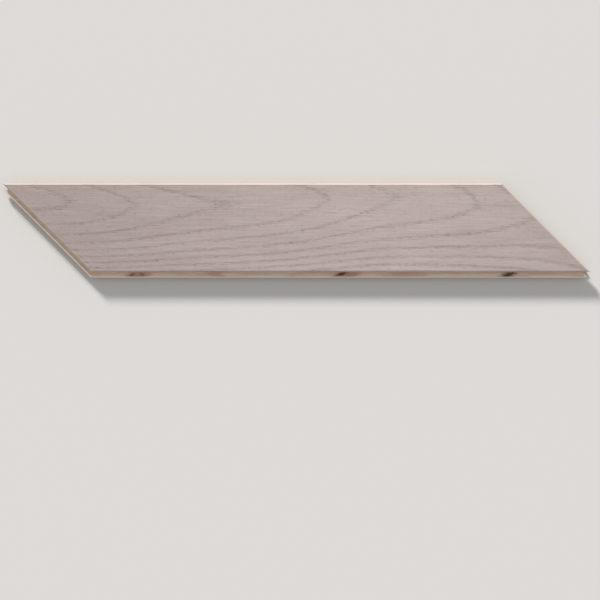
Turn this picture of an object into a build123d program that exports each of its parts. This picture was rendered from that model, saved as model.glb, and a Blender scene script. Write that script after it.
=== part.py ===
from build123d import *

import math
import os

# Chevron floor plank: an oak wear layer glued to birch plywood, both ends mitred.
# One long edge and one end carry a tongue. The opposite long edge and end carry
# the groove that a neighbour's tongue slides into. Saw kerfs cross the back.
# Millimetres, +Z up: X runs along the plank, the finished face looks up, and
# the origin is on the back, under the middle of the face.

# Driving dimensions of the whole plank
tip_to_tip = 600.0  # between the two sharp tips of the face
face_width = 90.0
mitre_angle = 45.0  # between a long edge and an end
thickness = 15.0
wear_layer = 4.0
ply_count = 9
face_bevel = 1.2

# Tongue and groove, which share the height of four plies
plies_below_tongue = 3
plies_in_tongue = 4
tongue_play = 0.06  # above and below the tongue once it is in its groove
groove_spare = 0.5  # the groove is this much deeper than the tongue is long
nose_radius = 1.0  # rounds both arrises of the tongue
groove_lead_in = 0.4  # chamfer on both lips of the groove
long_tongue = 6.0
end_tongue = 4.5

# Under the tongue the edge slopes back, and the groove's lower lip is short
long_shoulder_relief = 2.4
end_shoulder_relief = 1.0
long_lip_setback = 1.4
end_lip_setback = 1.0

# Saw kerfs across the back
kerf_count = 6
kerf_pitch = 100.0
kerf_width = 1.9
kerf_depth = 2.0
kerf_middle = -8.5  # x of the middle of the row of kerfs

# Sizes that follow from those above
ply = (thickness - wear_layer) / ply_count
groove_bottom = plies_below_tongue * ply
groove_top = groove_bottom + plies_in_tongue * ply
angle = math.radians(mitre_angle)
long_edge = tip_to_tip - face_width / math.tan(angle)
end_to_end = long_edge * math.sin(angle)  # measured square to the mitred ends
reach = 2 * tip_to_tip  # longer than any cut through the blank

# Seen in this plane, the mitred ends stand to the left and right like the long edges
mitre_plane = Plane(
    origin=(0, 0, 0),
    x_dir=(math.sin(angle), math.cos(angle), 0),
    z_dir=(math.cos(angle), -math.sin(angle), 0),
)


def milled_section(width, tongue, relief, setback):
    """The section between a tongue, on the left, and a groove, on the right."""
    left = -width / 2
    right = width / 2
    nose = left - tongue
    groove_end = right - tongue - groove_spare
    with BuildSketch(mode=Mode.PRIVATE) as section:
        with BuildLine():
            Polyline(
                (left + relief, 0),
                (right - setback, 0),
                (right - setback, groove_bottom),
                (groove_end, groove_bottom),
                (groove_end, groove_top),
                (right, groove_top),
                (right, thickness - face_bevel),
                (right - face_bevel, thickness),
                (left + face_bevel, thickness),
                (left, thickness - face_bevel),
                (left, groove_top - tongue_play),
                (nose, groove_top - tongue_play),
                (nose, groove_bottom + tongue_play),
                (left, groove_bottom + tongue_play),
                close=True,
            )
        make_face()
        fillet(section.vertices().group_by(Axis.X)[0], nose_radius)
        heights_of_groove = section.vertices().filter_by_position(Axis.Y, groove_bottom, groove_top)
        chamfer(heights_of_groove.sort_by(Axis.X)[-2:], groove_lead_in)
    return section.sketch


def milled_blank():
    """The whole plank as one piece: two milled sections, where they cross."""
    with BuildPart() as plank:
        with BuildSketch(Plane.YZ):
            add(milled_section(face_width, long_tongue, long_shoulder_relief, long_lip_setback))
        extrude(amount=reach / 2, both=True)
        with BuildSketch(mitre_plane):
            add(milled_section(end_to_end, end_tongue, end_shoulder_relief, end_lip_setback))
        extrude(amount=reach / 2, both=True, mode=Mode.INTERSECT)
        with Locations((kerf_middle, 0, 0)):
            with GridLocations(kerf_pitch, 0, kerf_count, 1):
                Box(kerf_width, reach, 2 * kerf_depth, mode=Mode.SUBTRACT)
    return plank.part


def layer_between(bottom, top, label):
    """One glued layer: what the finished plank has between two heights."""
    with BuildPart() as layer:
        add(blank)
        split(bisect_by=Plane.XY.offset(bottom), keep=Keep.TOP)
        split(bisect_by=Plane.XY.offset(top), keep=Keep.BOTTOM)
    layer.part.label = label
    return layer


blank = milled_blank()

# The kerfs go right through the back veneer and leave seven panels of it
back_veneer = layer_between(0, ply, "back_veneer")

# The grain runs along the plank in the odd plies and across it in the even ones
core_plies = [
    layer_between((number - 1) * ply, number * ply, f"core_ply_{number}")
    for number in range(2, ply_count + 1)
]

oak_wear_layer = layer_between(thickness - wear_layer, thickness, "oak_wear_layer")

os.makedirs("parts", exist_ok=True)
for layer in [back_veneer, *core_plies, oak_wear_layer]:
    export_step(layer.part, f"parts/{layer.part.label}.step")
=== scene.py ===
import math

import bpy
import numpy as np
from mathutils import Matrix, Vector


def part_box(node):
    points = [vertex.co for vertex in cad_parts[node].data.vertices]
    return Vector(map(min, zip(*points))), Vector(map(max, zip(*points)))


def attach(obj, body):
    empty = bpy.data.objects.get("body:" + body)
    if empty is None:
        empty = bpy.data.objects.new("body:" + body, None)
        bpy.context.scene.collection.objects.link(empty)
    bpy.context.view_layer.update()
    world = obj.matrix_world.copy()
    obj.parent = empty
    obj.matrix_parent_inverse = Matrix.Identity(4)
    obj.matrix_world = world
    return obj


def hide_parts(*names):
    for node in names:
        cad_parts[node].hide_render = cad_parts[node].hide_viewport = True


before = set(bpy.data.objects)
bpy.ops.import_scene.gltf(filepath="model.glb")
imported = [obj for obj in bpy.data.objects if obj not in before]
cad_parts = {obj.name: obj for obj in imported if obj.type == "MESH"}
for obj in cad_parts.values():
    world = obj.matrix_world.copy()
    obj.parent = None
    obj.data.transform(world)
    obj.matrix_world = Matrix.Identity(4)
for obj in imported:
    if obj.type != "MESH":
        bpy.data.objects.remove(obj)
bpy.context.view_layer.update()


# Birch plies of the plywood core, peeled veneers glued in a hot press with the
# grain of each across that of the next. The tongues and the grooves are milled
# through them, so every ply shows its long grain or its end grain on the edges.

millimetre = 0.001
back_low, back_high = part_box("back_veneer")
ply_thickness = (back_high.z - back_low.z) / millimetre
core_nodes = [f"core_ply_{number}" for number in range(2, 10)]
glue_line = 0.15  # thickness
cutter_mark = 1.4  # from one mark of the moulder's knives to the next
long_nose = -51.0  # y of the long tongue's nose
end_nose = 184.8  # how far the end tongue's nose is from the middle, square to the end


def linear(red, green, blue):
    """A colour given as 0 to 255 screen values, as the shader wants it."""
    channels = []
    for value in (red, green, blue):
        share = value / 255
        channels.append(share / 12.92 if share <= 0.04045 else ((share + 0.055) / 1.055) ** 2.4)
    return (*channels, 1.0)


def put(tree, kind, inputs=None, **settings):
    """Adds a node and gives its properties and its inputs their values or links."""
    made = tree.nodes.new(kind)
    for name, value in settings.items():
        setattr(made, name, value)
    for name, value in (inputs or {}).items():
        if isinstance(value, bpy.types.NodeSocket):
            tree.links.new(value, made.inputs[name])
        else:
            made.inputs[name].default_value = value
    return made


def calc(tree, operation, *values, clamp=False):
    """One arithmetic step, on sockets or plain numbers."""
    inputs = dict(enumerate(values))
    return put(tree, "ShaderNodeMath", inputs, operation=operation, use_clamp=clamp).outputs[0]


def fade(tree, value, start, end, low=0.0, high=1.0):
    """Goes smoothly from low to high while value goes from start to end."""
    inputs = {"Value": value, "From Min": start, "From Max": end, "To Min": low, "To Max": high}
    return put(tree, "ShaderNodeMapRange", inputs, interpolation_type="SMOOTHSTEP").outputs["Result"]


def blend(tree, share, first, second):
    """A mix of two colours."""
    mix = put(tree, "ShaderNodeMix", data_type="RGBA")
    for socket, value in ((mix.inputs[0], share), (mix.inputs[6], first), (mix.inputs[7], second)):
        if isinstance(value, bpy.types.NodeSocket):
            tree.links.new(value, socket)
        else:
            socket.default_value = value
    return mix.outputs[2]


def along(tree, place, direction):
    """How far a place lies along a direction."""
    inputs = {0: place, 1: direction}
    return put(tree, "ShaderNodeVectorMath", inputs, operation="DOT_PRODUCT").outputs["Value"]


def in_millimetres(tree, place):
    """A place in metres, as a vector in millimetres and as its three numbers."""
    scaled = put(tree, "ShaderNodeVectorMath", {0: place, 3: 1 / millimetre}, operation="SCALE")
    return scaled.outputs[0], put(tree, "ShaderNodeSeparateXYZ", {0: scaled.outputs[0]}).outputs


def grain(tree, place, size, detail=3.0, roughness=0.6, shift=0.0):
    """Noise from 0 to 1 whose spots are about as large, in mm, as size says."""
    scale = tuple(1 / length for length in size)
    offset = (shift, 2 * shift, 3 * shift)
    moved = put(tree, "ShaderNodeVectorMath", {0: place, 1: scale, 2: offset}, operation="MULTIPLY_ADD")
    inputs = {"Vector": moved.outputs[0], "Scale": 1.0, "Detail": detail, "Roughness": roughness}
    return put(tree, "ShaderNodeTexNoise", inputs).outputs[0]


def wood(name):
    """A new material: its tree, the place in mm, its three numbers and the normal's."""
    material = bpy.data.materials.new(name)
    material.use_nodes = True
    tree = material.node_tree
    tree.nodes.clear()
    place, numbers = in_millimetres(tree, put(tree, "ShaderNodeTexCoord").outputs["Object"])
    normal = put(tree, "ShaderNodeNewGeometry").outputs["Normal"]
    parts = put(tree, "ShaderNodeSeparateXYZ", {0: normal}).outputs
    return material, tree, place, numbers, [calc(tree, "ABSOLUTE", part) for part in parts]


def finish(tree, colour, roughness, height, depth):
    """Closes a matt wood material: its colour, its gloss and its relief in mm."""
    bump = put(tree, "ShaderNodeBump", {"Height": height, "Strength": 1.0, "Distance": depth * millimetre})
    surface = {"Base Color": colour, "Roughness": roughness, "Normal": bump.outputs["Normal"]}
    shader = put(tree, "ShaderNodeBsdfPrincipled", surface)
    shader.inputs["IOR"].default_value = 1.45
    shader.inputs["Specular IOR Level"].default_value = 0.3
    put(tree, "ShaderNodeOutputMaterial", {"Surface": shader.outputs[0]})


def cutter_waves(tree, place, facing):
    """The faint upright waves that turning knives leave along a milled edge."""
    turn = calc(tree, "MULTIPLY", along(tree, place, (1, -1, 0)), 2 * math.pi / cutter_mark)
    return calc(tree, "MULTIPLY", calc(tree, "SINE", turn), fade(tree, facing[2], 0.6, 0.3))


def spot(tree, place, centre, radii, turn):
    """1 in the middle of an oval spot, such as a knot, and 0 from its ragged rim outwards."""
    inputs = {"Vector": place, "Center": centre, "Angle": math.radians(turn)}
    turned = put(tree, "ShaderNodeVectorRotate", inputs, rotation_type="Z_AXIS").outputs[0]
    away = put(tree, "ShaderNodeVectorMath", {0: turned, 1: centre}, operation="SUBTRACT")
    shrunk = put(tree, "ShaderNodeVectorMath", {0: away.outputs[0], 1: radii}, operation="DIVIDE")
    distance = put(tree, "ShaderNodeVectorMath", {0: shrunk.outputs[0]}, operation="LENGTH")
    ragged = grain(tree, place, (3.0, 0.8, 0.8), detail=2.0, shift=centre[0])
    return fade(tree, calc(tree, "ADD", distance.outputs["Value"], ragged), 1.5, 0.75)


# Painted shade: the brown that the upright sides of the plies are darkened towards
painted_side_shade = linear(144, 120, 99)
glue_brown = linear(98, 68, 48)
# Partly torn fibres, partly a painted highlight on the tongues' noses
torn_and_highlit_nose = linear(250, 238, 224)


def birch(name, runs_along, pale, brown, marks=(), streak=45, cloudy=0.7):
    """Birch veneer: streaks along the grain, pores on the end grain, glue lines."""
    material, tree, place, (x, y, z), facing = wood(name)

    def size(long, short, thin):
        return (long, short, thin) if runs_along else (short, long, thin)

    streaks = grain(tree, place, size(streak, 0.9, 0.5), detail=4.0)
    fibres = grain(tree, place, size(6, 0.22, 0.2), shift=7.3)
    clouds = grain(tree, place, size(32, 5, 3), detail=3.0, shift=3.1)
    tone = calc(tree, "MULTIPLY_ADD", streaks, 0.7, calc(tree, "MULTIPLY", fibres, 0.3))
    colour = blend(tree, fade(tree, tone, 0.36, 0.66), pale, brown)
    warm = [share * factor for share, factor in zip(brown, (1.0, 0.9, 0.85, 1.0))]
    colour = blend(tree, fade(tree, clouds, 0.45, 0.7, high=cloudy), colour, warm)

    # End grain is darker, each ply has its own tone and a glue line parts it from the next; the upright
    # sides are also darkened, by a share that differs from ply to ply, as painted shade that tempers the
    # key light on them
    pores = grain(tree, place, (0.35, 0.35, 0.35), detail=2.0, shift=5.7)
    light_cut, dark_cut = [[share * part for part in brown] for share in (0.74, 0.46)]
    cut = blend(tree, fade(tree, pores, 0.4, 0.7), light_cut, dark_cut)
    colour = blend(tree, fade(tree, facing[0 if runs_along else 1], 0.3, 0.9, high=0.85), colour, cut)
    layer = calc(tree, "DIVIDE", z, ply_thickness)
    each = put(tree, "ShaderNodeTexWhiteNoise", {"W": calc(tree, "FLOOR", layer)}, noise_dimensions="1D")
    upright = fade(tree, facing[2], 0.8, 0.4)
    side_shade_share = calc(tree, "MULTIPLY_ADD", each.outputs["Value"], 0.3, 0.5)
    # Painted shade on the upright sides
    colour = blend(tree, calc(tree, "MULTIPLY", side_shade_share, upright), colour, painted_side_shade)
    from_glue = calc(tree, "MULTIPLY", calc(tree, "PINGPONG", layer, 0.5), ply_thickness)
    glue = calc(tree, "MULTIPLY", fade(tree, from_glue, 0.8 * glue_line, 0.3 * glue_line), upright)
    colour = blend(tree, calc(tree, "MULTIPLY", glue, 0.8), colour, glue_brown)

    for centre, radii, turn, shade, strength in marks:
        share = calc(tree, "MULTIPLY", spot(tree, place, centre, radii, turn), strength)
        colour = blend(tree, share, colour, shade)

    # Both tongues' noses are paler along their arrises: partly the torn fibres that the knives leave,
    # partly a painted highlight on the rounded noses
    square = along(tree, place, (-math.sqrt(0.5), -math.sqrt(0.5), 0))
    long_nose_rim = fade(tree, y, long_nose + 1.3, long_nose + 0.2)
    end_nose_rim = fade(tree, square, end_nose - 1.3, end_nose - 0.2)
    at_arris = fade(tree, facing[2], 0.1, 0.5, low=0.25, high=0.8)
    torn = calc(tree, "MULTIPLY", calc(tree, "MAXIMUM", long_nose_rim, end_nose_rim), at_arris)
    colour = blend(tree, torn, colour, torn_and_highlit_nose)

    height = calc(tree, "SUBTRACT", calc(tree, "MULTIPLY", fibres, 0.6), calc(tree, "MULTIPLY", pores, 0.4))
    height = calc(tree, "MULTIPLY_ADD", cutter_waves(tree, place, facing), 0.12, height)
    finish(tree, colour, 0.78, height, 0.08)
    return material


def dress(node, material):
    """Gives a node of the frame its material."""
    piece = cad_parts[node]
    piece.data.materials.clear()
    piece.data.materials.append(material)


# Knots, stained wood and a near-white patch by the sharp tip, on the upper side of the long tongue
tongue_top = 8.5  # z
tongue_middle = -48.0  # y
knot = linear(78, 56, 46)
ring_of_knot = linear(150, 104, 80)
stain = linear(186, 136, 112)
torn_wood = linear(255, 250, 243)
tongue_marks = [
    ((-162, tongue_middle, tongue_top), (19, 4.5, 2), -3, stain, 0.75),
    ((-168, tongue_middle, tongue_top), (5, 2.2, 2), -20, ring_of_knot, 0.9),
    ((-158, tongue_middle, tongue_top), (4, 1.8, 2), 15, ring_of_knot, 0.7),
    ((-82, tongue_middle, tongue_top), (12, 4.0, 2), 4, stain, 0.45),
    ((50, tongue_middle, tongue_top), (22, 5.0, 2), -4, stain, 0.8),
    ((46, tongue_middle + 0.6, tongue_top), (9, 2.6, 2), -12, ring_of_knot, 0.8),
    ((46, tongue_middle + 0.6, tongue_top), (6, 1.6, 2), -16, knot, 1.0),
    ((112, tongue_middle, tongue_top), (34, 4.5, 2), -2, stain, 0.4),
    ((217, tongue_middle, tongue_top), (14, 4.5, 2), -10, ring_of_knot, 0.8),
    ((217, tongue_middle, tongue_top), (9, 2.8, 2), -14, knot, 0.9),
    ((295.9, tongue_middle - 0.4, tongue_top), (2.8, 2.2, 2), -45, torn_wood, 1.0),
]
long_ply = birch("birch long ply", True, linear(246, 226, 208), linear(227, 196, 172), tongue_marks)

# A check and a stain on the underside of the long tongue
tongue_underside = 3.7  # z
warm_stain = linear(212, 150, 122)
underside_marks = [
    ((258, tongue_middle, tongue_underside), (11, 5, 2), 0, warm_stain, 0.8),
    ((249, tongue_middle, tongue_underside), (6, 0.7, 1), 48, knot, 0.9),
]
cross_ply = birch("birch cross ply", False, linear(222, 197, 175), linear(188, 155, 128), underside_marks)

for node in core_nodes:
    crosswise = int(node.rsplit("_", 1)[1]) % 2 == 0
    dress(node, cross_ply if crosswise else long_ply)


# Back veneer: the palest birch sheet of the press, sanded to thickness and left
# bare for the glue. Six relief kerfs are sawn across it, right through the sheet
# and a little into the brown ply beneath, and the saw leaves frayed fibres.

sanded, flecked = linear(231, 216, 199), linear(216, 198, 178)
pale_birch = birch("birch back veneer", True, sanded, flecked, streak=12, cloudy=0.2)
dress("back_veneer", pale_birch)

kerf_middle = -8.5  # x of the middle of the row of kerfs
kerf_pitch = 100.0
kerf_count = 6
kerf_width = 1.9
shoulder = -42.6  # y where the back ends under the long tongue
lip = 43.6  # y where it ends under the long groove
mitre = 255.0  # x + y all along a mitred end of the face
end_lip = 1.5  # how far the back's end stays behind the mitre, along y
fray_level = 0.09  # the slivers hang in the kerf, clear of what the plank lies on


def kerf_arrises():
    """Both arrises of each kerf on the back, as edges with the kerf on their right."""
    points = []
    for number in range(kerf_count):
        centre = kerf_middle + (number - (kerf_count - 1) / 2) * kerf_pitch
        for side in (-1, 1):
            x = centre + side * kerf_width / 2
            south = max(shoulder, -mitre - x + end_lip)
            north = min(lip, mitre - x - end_lip)
            ends = [(x, south, fray_level), (x, north, fray_level)]
            points += ends if side < 0 else reversed(ends)
    places = [tuple(part * millimetre for part in point) for point in points]
    mesh = bpy.data.meshes.new("kerf_arrises")
    mesh.from_pydata(places, [(start, start + 1) for start in range(0, len(points), 2)], [])
    return mesh


def new_tree(name, wanted):
    """An empty Geometry Nodes tree with a Geometry input and the inputs wanted by name."""
    tree = bpy.data.node_groups.new(name, "GeometryNodeTree")
    tree.interface.new_socket("Geometry", in_out="INPUT", socket_type="NodeSocketGeometry")
    tree.interface.new_socket("Geometry", in_out="OUTPUT", socket_type="NodeSocketGeometry")
    sockets = {}
    for label, kind in wanted.items():
        sockets[label] = tree.interface.new_socket(label, in_out="INPUT", socket_type=kind).identifier
    return tree, put(tree, "NodeGroupInput").outputs, sockets


def close_tree(tree, geometry, material):
    """Ends a tree with real geometry in its material."""
    real = put(tree, "GeometryNodeRealizeInstances", {"Geometry": geometry})
    ready = put(tree, "GeometryNodeSetMaterial", {"Geometry": real.outputs[0], "Material": material})
    put(tree, "NodeGroupOutput", {"Geometry": ready.outputs[0]})


def grow(name, mesh, tree, sockets, values):
    """Runs a tree on a mesh and returns the plain mesh object that comes out."""
    start = bpy.data.objects.new(name + "_start", mesh)
    bpy.context.collection.objects.link(start)
    modifier = start.modifiers.new(name, "NODES")
    modifier.node_group = tree
    for label, value in values.items():
        modifier[sockets[label]] = value
    graph = bpy.context.evaluated_depsgraph_get()
    piece = bpy.data.objects.new(name, bpy.data.meshes.new_from_object(start.evaluated_get(graph)))
    bpy.context.collection.objects.link(piece)
    bpy.data.objects.remove(start)
    return piece


def torn_birch():
    """Fibres of birch that a saw or a cutter left standing, pale all round."""
    material, tree, place, _, _ = wood("torn birch")
    strands = grain(tree, place, (1.2, 1.2, 0.3), detail=2.0, shift=1.9)
    colour = blend(tree, fade(tree, strands, 0.3, 0.7), torn_wood, linear(238, 223, 204))
    finish(tree, colour, 0.85, strands, 0.03)
    return material


def fraying():
    """Slivers that are left hanging along a sawn or cut edge."""
    floats = ("Spacing", "Length", "Thickness")
    wanted = {label: "NodeSocketFloat" for label in floats}
    wanted.update({"Seed": "NodeSocketInt", "Finish": "NodeSocketMaterial"})
    tree, given, sockets = new_tree("slivers along an edge", wanted)

    def chance(low, high, step):
        seed = calc(tree, "ADD", given["Seed"], step)
        inputs = {2: low, 3: high, "Seed": seed}
        return put(tree, "FunctionNodeRandomValue", inputs, data_type="FLOAT").outputs[1]

    line = put(tree, "GeometryNodeMeshToCurve", {"Mesh": given["Geometry"]}).outputs[0]
    inputs = {"Curve": line, "Length": given["Spacing"]}
    points = put(tree, "GeometryNodeCurveToPoints", inputs, mode="LENGTH").outputs
    inputs = {0: points["Tangent"], 1: (0, 0, 1)}
    inward = put(tree, "ShaderNodeVectorMath", inputs, operation="CROSS_PRODUCT").outputs[0]
    lean = put(tree, "ShaderNodeCombineXYZ", {"Y": chance(-0.9, 0.9, 1), "Z": chance(0.0, 0.35, 2)})
    aim = put(tree, "ShaderNodeVectorMath", {0: inward, 1: lean.outputs[0]}, operation="ADD").outputs[0]
    turned = put(tree, "FunctionNodeAlignRotationToVector", {"Vector": aim}, axis="Z").outputs[0]
    inputs = {
        "Vertices": 4,
        "Radius Top": 0.0,
        "Radius Bottom": calc(tree, "MULTIPLY", given["Thickness"], 0.5),
        "Depth": given["Length"],
    }
    sliver = put(tree, "GeometryNodeMeshCone", inputs).outputs[0]
    kept = calc(tree, "GREATER_THAN", chance(0.0, 1.0, 3), 0.4)
    inputs = {
        "Points": points["Points"],
        "Selection": kept,
        "Instance": sliver,
        "Rotation": turned,
        "Scale": chance(0.35, 1.0, 4),
    }
    slivers = put(tree, "GeometryNodeInstanceOnPoints", inputs).outputs[0]
    close_tree(tree, slivers, given["Finish"])
    return tree, sockets


frays, fray_sockets = fraying()
torn_fibres = torn_birch()
fray_sizes = {
    "Spacing": 0.9 * millimetre,
    "Length": 0.7 * millimetre,
    "Thickness": 0.14 * millimetre,
    "Seed": 4,
    "Finish": torn_fibres,
}
frayed_fibres = grow("frayed_fibres", kerf_arrises(), frays, fray_sockets, fray_sizes)
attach(frayed_fibres, "root")


# Torn end of the long tongue, beside the sharp tip: where the cutter of the end
# groove leaves the tongue, it breaks the birch out and pale splinters stand up.

end_groove = 5.0  # depth, square to the end
torn_depth = 1.0  # how far from the cut the splinters start
torn_sum = mitre - (end_groove + torn_depth) * math.sqrt(2)  # x + y all along their line
torn_stretch = (-49.9, -47.0)  # from which y to which y
torn_line = bpy.data.meshes.new("torn_line")
torn_places = [(torn_sum - y, y, tongue_top) for y in torn_stretch]
torn_line.from_pydata([[part * millimetre for part in place] for place in torn_places], [(0, 1)], [])
torn_sizes = {
    "Spacing": 0.15 * millimetre,
    "Length": 1.8 * millimetre,
    "Thickness": 0.45 * millimetre,
    "Seed": 11,
    "Finish": torn_fibres,
}
torn_splinters = grow("torn_splinters", torn_line, frays, fray_sockets, torn_sizes)
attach(torn_splinters, "root")


# Oak wear layer: a sawn lamella 4 mm thick, glued on the plywood. Its face is
# brushed, which takes out the soft spring wood, then oiled grey, and a small
# bevel is cut along all four edges. Below the bevel the milled oak is bare.

oak_low, oak_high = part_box("oak_wear_layer")
bevel = 1.2
half_width = (oak_high.y - oak_low.y) / 2 / millimetre
half_length = (oak_high.x - oak_low.x) / 2 / millimetre - half_width  # at mid-width
half_square = half_length * math.sqrt(0.5)  # the same, measured square to the ends
face = oak_high.z / millimetre
foot = oak_low.z / millimetre
cells_along = 280  # of the grid that is fine enough for the brushing
cells_across = 320
brush_depth = 0.12  # at the most

# The oil on the face and the bevel, and what shows in it
cool_oil = linear(182, 167, 162)
warm_oil = linear(186, 171, 165)
# Painted shade: the colour that both ends of the face are darkened towards
painted_falloff_shade = linear(128, 113, 109)
ring_line = linear(142, 126, 121)
dark_fibre = linear(146, 130, 124)
light_fibre = linear(205, 192, 187)
oiled_pore = linear(104, 88, 80)
# Painted highlight for the bevel
bevel_highlight = linear(222, 207, 196)

# The bare oak of the sides, its colours darkened as painted shade that tempers the key light on the sides
bare_oak_with_painted_shade = linear(176, 153, 129)
bare_ring = linear(140, 114, 89)
bare_fibre = linear(152, 128, 104)
bare_pore = linear(92, 66, 46)
bare_end = linear(128, 98, 72)

# The log's rings, as they meet the face: arches round a crest line, in mm
first_ring = 2.818
ring_spacing = 83.2  # along the crest
ring_curl = 0.00109  # rings for each square millimetre away from the crest
ring_point = 0.0145  # and for each millimetre, which gives the arches their points
blunt = 0.5  # how far from the crest the points are rounded
ring_rise = 0.28  # rings for each millimetre up
wide_wave = (0.1914, 260.3, 414.4)  # strength, place and length of each unevenness
narrow_wave = (0.1254, -111.5, 190.0)
crest_level = 9.98  # y of the crest at the middle of the plank, without its bow
crest_fall = -0.47925  # for each millimetre along the plank
crest_bow = (131.0, 366.9, 1598.1)  # height, place and length of the bow
bow_growth = 0.00132  # share by which the bow grows for each millimetre across


def oak_blank():
    """A closed lamella with a fine grid on its face, mitred at 45 degrees."""
    steps_along = np.linspace(-1.0, 1.0, cells_along + 1)
    steps_across = np.linspace(-1.0, 1.0, cells_across + 1)

    def corner(u, v, inset, height):
        y = v * (half_width - inset)
        x = u * (half_length - inset * math.sqrt(2)) - y
        return (x * millimetre, y * millimetre, height * millimetre)

    points = [corner(u, v, bevel, face) for v in steps_across for u in steps_along]
    row = cells_along + 1
    faces = []
    for j in range(cells_across):
        for i in range(cells_along):
            start = j * row + i
            faces.append((start, start + 1, start + row + 1, start + row))
    rim = [(u, -1.0) for u in steps_along[:-1]] + [(1.0, v) for v in steps_across[:-1]]
    rim += [(u, 1.0) for u in steps_along[:0:-1]] + [(-1.0, v) for v in steps_across[:0:-1]]
    last = cells_across * row
    ring = list(range(cells_along)) + [j * row + cells_along for j in range(cells_across)]
    ring += [last + i for i in range(cells_along, 0, -1)] + [j * row for j in range(cells_across, 0, -1)]
    for height in (face - bevel, foot):
        below = list(range(len(points), len(points) + len(rim)))
        points += [corner(u, v, 0.0, height) for u, v in rim]
        for k in range(len(rim)):
            following = (k + 1) % len(rim)
            faces.append((ring[k], below[k], below[following], ring[following]))
        ring = below
    faces.append(tuple(reversed(ring)))
    mesh = bpy.data.meshes.new("oak_blank")
    mesh.from_pydata(points, [], faces)
    return mesh


def wave(tree, x, strength, crest, length):
    """A smooth wave along the plank."""
    turn = calc(tree, "MULTIPLY", calc(tree, "SUBTRACT", x, crest), 2 * math.pi / length)
    return calc(tree, "MULTIPLY", calc(tree, "COSINE", turn), strength)


def spring_wood(tree, place, x, y, z):
    """1 where a ring's soft spring wood begins, fading into its hard summer wood, and its number."""
    bow = calc(tree, "MULTIPLY", wave(tree, x, *crest_bow), calc(tree, "MULTIPLY_ADD", y, bow_growth, 1.0))
    crest = calc(tree, "ADD", calc(tree, "MULTIPLY_ADD", x, crest_fall, crest_level), bow)
    aside = calc(tree, "SUBTRACT", y, crest)
    start = first_ring - face * ring_rise - blunt * ring_point
    number = calc(tree, "MULTIPLY_ADD", x, 1 / ring_spacing, start)
    number = calc(tree, "MULTIPLY_ADD", z, ring_rise, number)
    for uneven in (wide_wave, narrow_wave):
        number = calc(tree, "ADD", number, wave(tree, x, *uneven))
    square = calc(tree, "MULTIPLY", aside, aside)
    number = calc(tree, "MULTIPLY_ADD", square, ring_curl, number)
    away = calc(tree, "SQRT", calc(tree, "ADD", square, blunt**2))
    number = calc(tree, "MULTIPLY_ADD", away, ring_point, number)
    unevenness = (((90, 30, 30), 0.25, 1.7), ((18, 5, 5), 0.08, 4.2), ((26, 0.8, 0.8), 0.32, 2.4))
    for size, amount, shift in unevenness:
        drift = calc(tree, "SUBTRACT", grain(tree, place, size, detail=2.0, shift=shift), 0.5)
        number = calc(tree, "MULTIPLY_ADD", drift, amount, number)

    # The line is broad where the rings are cut at a slant, and thin where they crowd
    slope = calc(tree, "MULTIPLY_ADD", away, 2 * ring_curl, ring_point)
    crowding = calc(tree, "SQRT", calc(tree, "MULTIPLY_ADD", slope, slope, 1 / ring_spacing**2))
    width = calc(tree, "ADD", calc(tree, "DIVIDE", 0.07, crowding), 2.9)
    phase = calc(tree, "FRACT", number)
    after = calc(tree, "DIVIDE", phase, crowding)
    before = calc(tree, "DIVIDE", calc(tree, "SUBTRACT", 1.0, phase), crowding)
    rise = fade(tree, before, calc(tree, "MULTIPLY", width, 0.55), 0.0)
    return calc(tree, "MAXIMUM", fade(tree, after, width, 0.0), rise), number


def brushing():
    """Lowers the soft spring wood of the face and combs its fibres, as the brush does."""
    wanted = {"Depth": "NodeSocketFloat", "Finish": "NodeSocketMaterial"}
    tree, given, sockets = new_tree("brushed face", wanted)
    place, (x, y, z) = in_millimetres(tree, put(tree, "GeometryNodeInputPosition").outputs[0])
    soft, _ = spring_wood(tree, place, x, y, z)
    fibres = grain(tree, place, (22, 0.7, 0.7), detail=2.0, shift=2.4)
    relief = calc(tree, "MULTIPLY_ADD", soft, 0.4, calc(tree, "MULTIPLY", fibres, 0.6))
    on_face = calc(tree, "GREATER_THAN", z, face - bevel / 2)
    drop = calc(tree, "MULTIPLY", calc(tree, "MULTIPLY", relief, on_face), given["Depth"])
    offset = put(tree, "ShaderNodeCombineXYZ", {"Z": calc(tree, "MULTIPLY", drop, -1.0)}).outputs[0]
    moved = put(tree, "GeometryNodeSetPosition", {"Geometry": given["Geometry"], "Offset": offset})
    close_tree(tree, moved.outputs[0], given["Finish"])
    return tree, sockets


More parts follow.
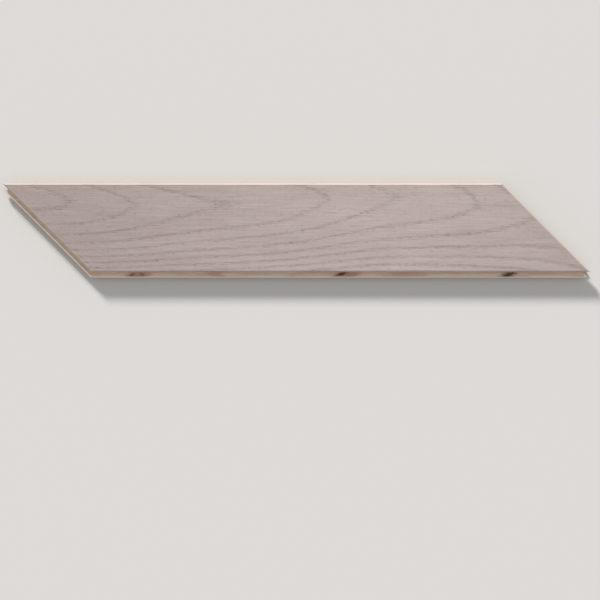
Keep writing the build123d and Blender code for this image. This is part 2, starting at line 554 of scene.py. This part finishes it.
def oiled_oak():
    """Brushed oak under a matt grey oil, with the arches of the rings, and bare oak below."""
    material, tree, place, (x, y, z), facing = wood("oiled oak")
    soft, number = spring_wood(tree, place, x, y, z)

    # Slow clouds in the oil, cool and warm, and both ends darkened as painted shade, for the light that
    # falls off towards them
    clouds = grain(tree, place, (110, 22, 22), detail=2.0, shift=6.1)
    oil = blend(tree, fade(tree, clouds, 0.38, 0.62), cool_oil, warm_oil)
    lightest = 110.0
    west_falloff = fade(tree, x, lightest, -320, high=0.36)
    east_falloff = fade(tree, x, lightest, 420, high=0.3)
    oil = blend(tree, calc(tree, "ADD", west_falloff, east_falloff), oil, painted_falloff_shade)

    # Spring wood lines, stronger in some rings than in others and along each ring
    each = put(tree, "ShaderNodeTexWhiteNoise", {"W": calc(tree, "FLOOR", number)}, noise_dimensions="1D")
    patches = grain(tree, place, (48, 12, 12), detail=2.0, shift=8.8)
    own = calc(tree, "MULTIPLY_ADD", each.outputs["Value"], 0.4, 0.55)
    strength = calc(tree, "MULTIPLY", fade(tree, patches, 0.3, 0.62, low=0.4), own)
    strength = calc(tree, "MULTIPLY", strength, fade(tree, x, -290, -190, low=0.45))
    broken = fade(tree, grain(tree, place, (14, 0.6, 0.6), shift=3.3), 0.34, 0.62, low=0.2)
    line = calc(tree, "MULTIPLY", calc(tree, "MULTIPLY", soft, strength), broken)
    oil = blend(tree, calc(tree, "MULTIPLY", line, 0.48), oil, ring_line)

    # Fibres and the dark pores, which crowd into the spring wood
    fibres = grain(tree, place, (34, 1.2, 1.2), detail=4.0, shift=2.4)
    oil = blend(tree, fade(tree, fibres, 0.46, 0.78, high=0.42), oil, dark_fibre)
    oil = blend(tree, fade(tree, fibres, 0.46, 0.24, high=0.38), oil, light_fibre)
    pores = grain(tree, place, (5.5, 0.3, 0.3), detail=1.0, shift=9.4)
    crowd = calc(tree, "MULTIPLY_ADD", soft, -0.1, 0.66)
    pore = fade(tree, calc(tree, "SUBTRACT", pores, crowd), 0.0, 0.06)
    oil = blend(tree, calc(tree, "MULTIPLY", pore, 0.45), oil, oiled_pore)

    # Painted highlight: the bevel is painted paler along its arrises, on all four edges
    past_long = calc(tree, "SUBTRACT", calc(tree, "ABSOLUTE", y), half_width - bevel)
    square = calc(tree, "ABSOLUTE", along(tree, place, (math.sqrt(0.5), math.sqrt(0.5), 0)))
    past_end = calc(tree, "SUBTRACT", square, half_square - bevel)
    past = calc(tree, "MAXIMUM", past_long, past_end)
    oil = blend(tree, fade(tree, past, -0.4, 0.3, high=0.4), oil, bevel_highlight)

    # Below the bevel: bare oak, darker where the pores are cut across
    bare = blend(tree, calc(tree, "MULTIPLY", soft, 0.7), bare_oak_with_painted_shade, bare_ring)
    bare = blend(tree, fade(tree, fibres, 0.4, 0.75, high=0.5), bare, bare_fibre)
    across = fade(tree, facing[0], 0.3, 0.9, high=0.5)
    bare = blend(tree, across, bare, bare_end)
    bare = blend(tree, calc(tree, "MULTIPLY", pore, 0.6), bare, bare_pore)
    colour = blend(tree, fade(tree, z, face - bevel - 0.15, face - bevel + 0.05), bare, oil)

    grooves = calc(tree, "ADD", pore, calc(tree, "MULTIPLY", soft, 0.4))
    height = calc(tree, "SUBTRACT", calc(tree, "MULTIPLY", fibres, 0.5), grooves)
    height = calc(tree, "MULTIPLY_ADD", cutter_waves(tree, place, facing), 0.1, height)
    finish(tree, colour, 0.62, height, 0.07)
    return material


tree, sockets = brushing()
brush_sizes = {"Depth": brush_depth * millimetre, "Finish": oiled_oak()}
oak_face = grow("oak_face", oak_blank(), tree, sockets, brush_sizes)
oak_face.data.shade_smooth()
oak_face.data.set_sharp_from_angle(angle=math.radians(32))
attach(oak_face, "root")
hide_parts("oak_wear_layer")


# Plain pale floor under the plank and a backdrop of the same colour beyond it,
# lit by a soft lamp far off beyond the plank's grooved edge and by the room.

floor_colour = linear(218, 215, 211)
reach = 12.0  # from the middle of the floor to its sides, in metres
floor_mesh = bpy.data.meshes.new("floor")
floor_corners = [(-reach, -reach, 0), (reach, -reach, 0), (reach, reach, 0), (-reach, reach, 0)]
floor_mesh.from_pydata(floor_corners, [], [(0, 1, 2, 3)])
floor = bpy.data.objects.new("floor", floor_mesh)
bpy.context.collection.objects.link(floor)
floor_paint = bpy.data.materials.new("pale floor")
floor_paint.use_nodes = True
paint = floor_paint.node_tree.nodes["Principled BSDF"]
paint.inputs["Base Color"].default_value = floor_colour
paint.inputs["Roughness"].default_value = 0.9
paint.inputs["Specular IOR Level"].default_value = 0.1
floor_mesh.materials.append(floor_paint)

lamp = bpy.data.lights.new("key", "SUN")
lamp.energy = 4.25
lamp.angle = math.radians(9)
key = bpy.data.objects.new("key", lamp)
towards_lamp = Vector((-0.4, 0.82, 0.4))  # from where the photo's shadows come
key.rotation_euler = towards_lamp.to_track_quat("Z", "Y").to_euler()
bpy.context.collection.objects.link(key)

world = bpy.data.worlds.new("studio")
world.use_nodes = True
room = world.node_tree.nodes["Background"]
room.inputs["Color"].default_value = (0.98, 0.99, 1.0, 1.0)
room.inputs["Strength"].default_value = 0.5
backdrop = put(world.node_tree, "ShaderNodeBackground", {"Color": floor_colour, "Strength": 1.0})
seen = put(world.node_tree, "ShaderNodeLightPath").outputs["Is Camera Ray"]
both = put(world.node_tree, "ShaderNodeMixShader", {0: seen, 1: room.outputs[0], 2: backdrop.outputs[0]})
world.node_tree.links.new(both.outputs[0], world.node_tree.nodes["World Output"].inputs["Surface"])
bpy.context.scene.world = world


# Camera straight above the plank, as in the photo, and as far off as it takes for
# the face to span the same columns of the picture, on the same middle row.

photo_size = 600
photo_west = 2.5  # pixel columns of the face's two sharp tips
photo_east = 590.3
photo_middle = 227.6  # pixel row of the face's middle line
pixel = (oak_high.x - oak_low.x) / (photo_east - photo_west)
camera_data = bpy.data.cameras.new("camera")
camera_data.lens = 150
camera_data.sensor_width = 36
camera_data.clip_end = 50
camera = bpy.data.objects.new("camera", camera_data)
distance = photo_size * pixel * camera_data.lens / camera_data.sensor_width
camera_x = oak_low.x + (photo_size / 2 - photo_west) * pixel
camera_y = (photo_middle - photo_size / 2) * pixel
camera.location = (camera_x, camera_y, oak_high.z + distance)
bpy.context.collection.objects.link(camera)
bpy.context.scene.camera = camera
bpy.context.scene.view_settings.view_transform = "Standard"
